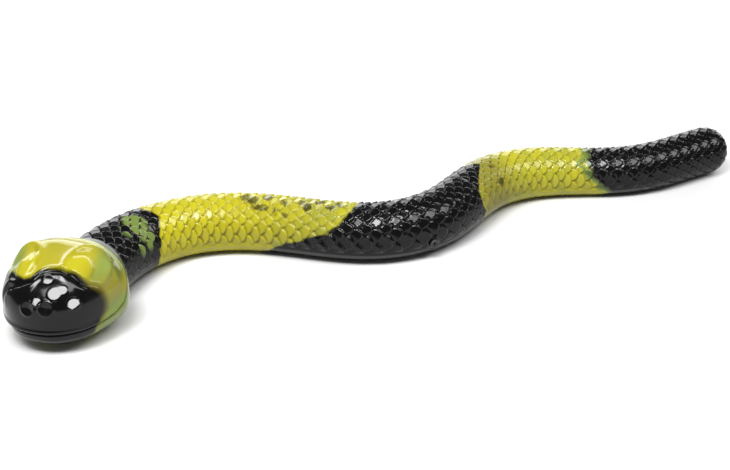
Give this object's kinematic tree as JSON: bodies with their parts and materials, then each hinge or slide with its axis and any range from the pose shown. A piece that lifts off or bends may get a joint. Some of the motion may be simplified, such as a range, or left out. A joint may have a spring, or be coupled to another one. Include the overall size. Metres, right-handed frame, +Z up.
{
  "type": "twisting snake puzzle",
  "caption": "Twisting snake puzzle: glossy scaled mouldings in an S curve, broad head and blunt tail, joined by spring-bolt twist joints so each can be turned about the body's line.",
  "frame": {"origin": "middle of the bounding box, on the surface that the flat belly rests on", "axes": "+Z up out of the belly, +X along the snake's overall length from head to tail, +Y to the left when looking along +X"},
  "size_m": [0.4172, 0.2504, 0.0469],
  "materials": {
    "head_moulding": "high gloss, yellow over a black snout",
    "neck_moulding": "high gloss black with green marbling",
    "body_moulding": "high gloss, yellow running into black",
    "tail_moulding": "high gloss, yellow running into black",
    "vent": "satin",
    "cap": "natural nylon",
    "boss": "moulded nylon",
    "bolt": "zinc plated",
    "washer": "zinc plated",
    "spring": "drawn spring wire"
  },
  "bodies": {
    "body": {"body_shell": "body_moulding", "vent_plug": "vent", "neck_joint_boss": "boss", "neck_joint_bolt": "bolt", "tail_joint_cap": "cap", "tail_joint_washer": "washer", "tail_joint_spring": "spring"},
    "neck": {"neck_shell": "neck_moulding", "neck_joint_cap": "cap", "neck_joint_washer": "washer", "neck_joint_spring": "spring", "head_joint_boss": "boss", "head_joint_bolt": "bolt"},
    "head": {"head_shell": "head_moulding", "head_joint_cap": "cap", "head_joint_washer": "washer", "head_joint_spring": "spring"},
    "tail": {"tail_shell": "tail_moulding", "tail_joint_boss": "boss", "tail_joint_bolt": "bolt"}
  },
  "joints": [
    {"name": "neck_twist", "type": "hinge", "parent": "body", "child": "neck", "pos_m": [-0.15061, -0.02677, 0.0167], "axis": [-0.5916, -0.8062, 0], "continuous": true},
    {"name": "head_twist", "type": "hinge", "parent": "neck", "child": "head", "pos_m": [-0.16929, -0.06919, 0.01802], "axis": [0.2957, 0.9553, 0], "continuous": true},
    {"name": "tail_twist", "type": "hinge", "parent": "body", "child": "tail", "pos_m": [0.03044, 0.02565, 0.01588], "axis": [-0.5055, -0.8629, 0], "continuous": true}
  ]
}
